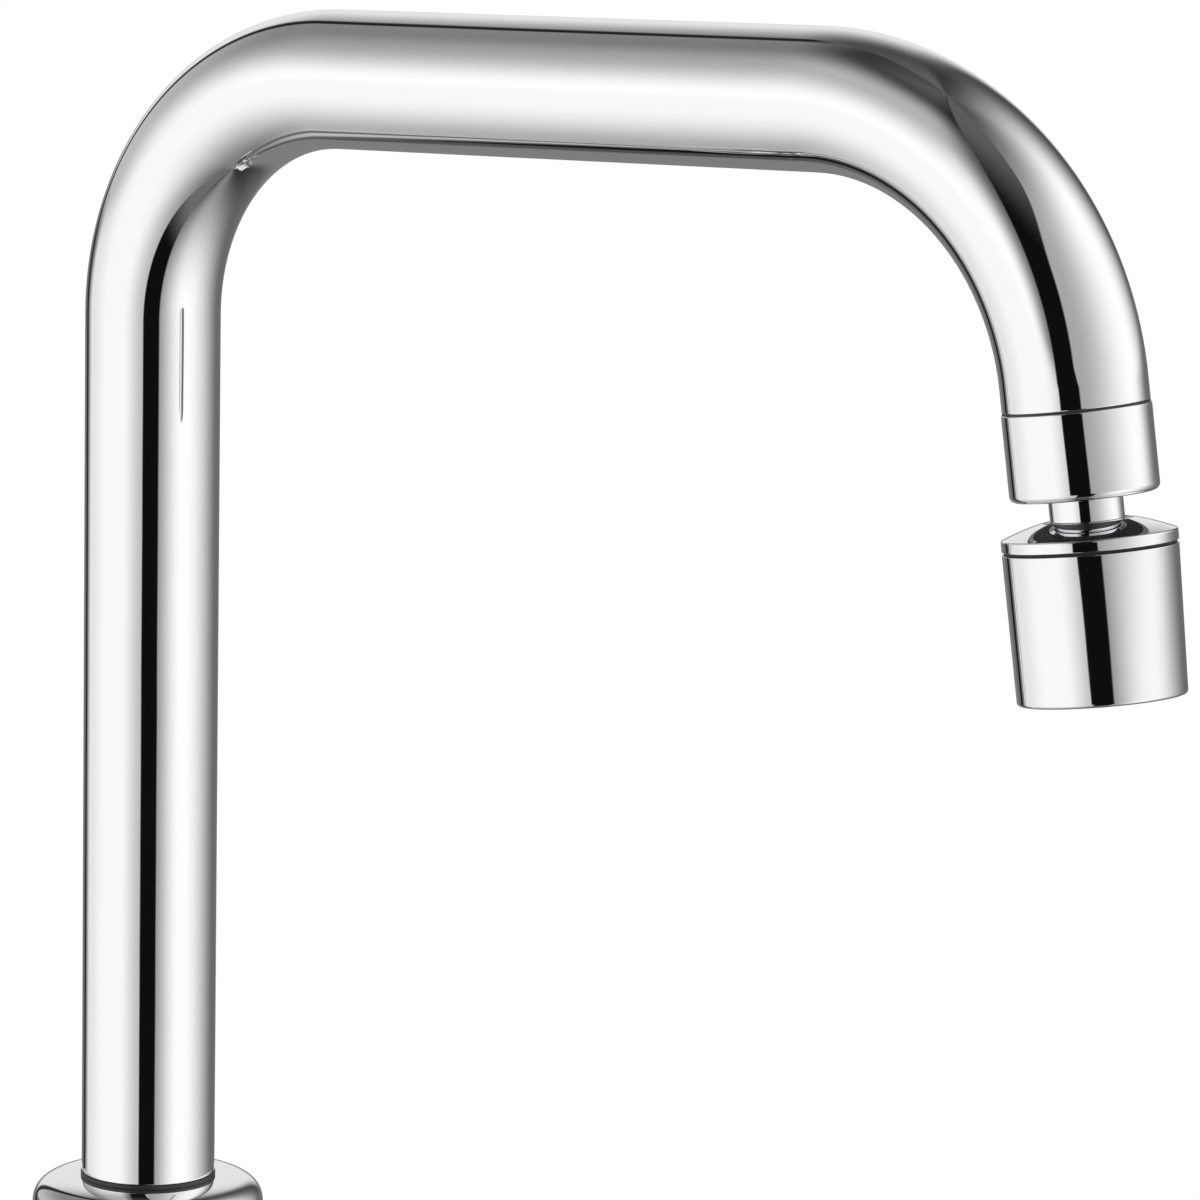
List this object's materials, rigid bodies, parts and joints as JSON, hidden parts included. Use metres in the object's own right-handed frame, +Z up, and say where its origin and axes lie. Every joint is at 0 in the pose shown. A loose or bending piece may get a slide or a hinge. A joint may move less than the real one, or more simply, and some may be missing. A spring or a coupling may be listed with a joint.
{
  "type": "kitchen mixer tap",
  "caption": "Tall chrome kitchen mixer tap with a swivelling square-bend spout, a ball-jointed tilting outlet and a side lever.",
  "frame": {"origin": "centre of the base gasket's underside, in the plane of the worktop's top", "axes": "+Z up along the riser, -Y from the riser towards the outlet, +X towards the lever"},
  "size_m": [0.0941, 0.2813, 0.4816],
  "materials": {
    "chrome": "polished chrome plate",
    "brass": "machined brass",
    "steel": "zinc-plated steel",
    "rubber": "black moulded rubber",
    "dark_plastic": "dark acetal",
    "grey_plastic": "moulded grey acetal",
    "white_plastic": "white low-friction plastic",
    "enamel": "red and blue enamel",
    "ceramic": "lapped alumina ceramic",
    "screen": "stainless screen"
  },
  "bodies": {
    "tap_base": {"body_casting": "chrome", "base_ring": "chrome", "base_gasket": "rubber", "foot_ring": "dark_plastic", "mount_stud": "steel", "horseshoe_washer": "rubber", "horseshoe_plate": "steel", "mounting_nut": "brass", "spout_set_screw": "steel", "port_seals": "rubber", "cartridge_base": "grey_plastic", "fixed_disc": "ceramic", "cartridge_housing": "grey_plastic", "retaining_nut": "brass", "cartridge_cap": "chrome", "hot_cold_mark": "enamel"},
    "lever_carrier": {"spindle_rotor": "grey_plastic", "pivot_pin": "steel"},
    "lever": {"spindle": "brass", "lever_handle": "chrome", "lever_screw": "steel", "screw_plug": "grey_plastic"},
    "disc": {"moving_disc": "ceramic", "disc_carrier": "grey_plastic"},
    "spout": {"spout_tube": "chrome", "spout_spigot": "brass", "spigot_slide_rings": "white_plastic", "spigot_o_rings": "rubber", "spout_end_bush": "brass", "outlet_collar": "chrome", "collar_seal": "rubber"},
    "stem": {"ball_stem": "chrome", "stem_o_ring": "rubber"},
    "seat": {"ball_seat_ring": "white_plastic"},
    "head": {"head_cap": "chrome", "head_shell": "chrome", "lower_seat": "white_plastic", "head_seal": "rubber", "aerator_housing": "grey_plastic", "aerator_screens": "screen", "outlet_grid": "grey_plastic"}
  },
  "joints": [
    {"name": "spout_swivel", "type": "hinge", "parent": "tap_base", "child": "spout", "pos_m": [0, 0, 0.15], "axis": [0, 0, 1], "continuous": true},
    {"name": "stem_spin", "type": "hinge", "parent": "spout", "child": "stem", "pos_m": [0, -0.2306, 0.33906], "axis": [0, -0.1547, -0.988], "continuous": true},
    {"name": "head_tilt_in", "type": "hinge", "parent": "stem", "child": "seat", "pos_m": [0, -0.23468, 0.31298], "axis": [1, 0, 0], "range_deg": [-10, 10]},
    {"name": "head_tilt_side", "type": "hinge", "parent": "seat", "child": "head", "pos_m": [0, -0.23468, 0.31298], "axis": [0, -0.988, 0.1547], "range_deg": [-10, 10]},
    {"name": "lever_turn", "type": "hinge", "parent": "tap_base", "child": "lever_carrier", "pos_m": [0.03, 0, 0.06], "axis": [1, 0, 0], "range_deg": [-45, 45]},
    {"name": "lever_lift", "type": "hinge", "parent": "lever_carrier", "child": "lever", "pos_m": [0.03, 0, 0.06], "axis": [0, 1, 0], "range_deg": [0, 25]},
    {"name": "disc_slide", "type": "slide", "parent": "lever_carrier", "child": "disc", "axis": [0, 0, 1], "range_m": [0, 0.00563]}
  ],
  "couplings": [
    {"joint": "disc_slide", "follows": "lever_lift", "m_per_rad": 0.0129}
  ]
}
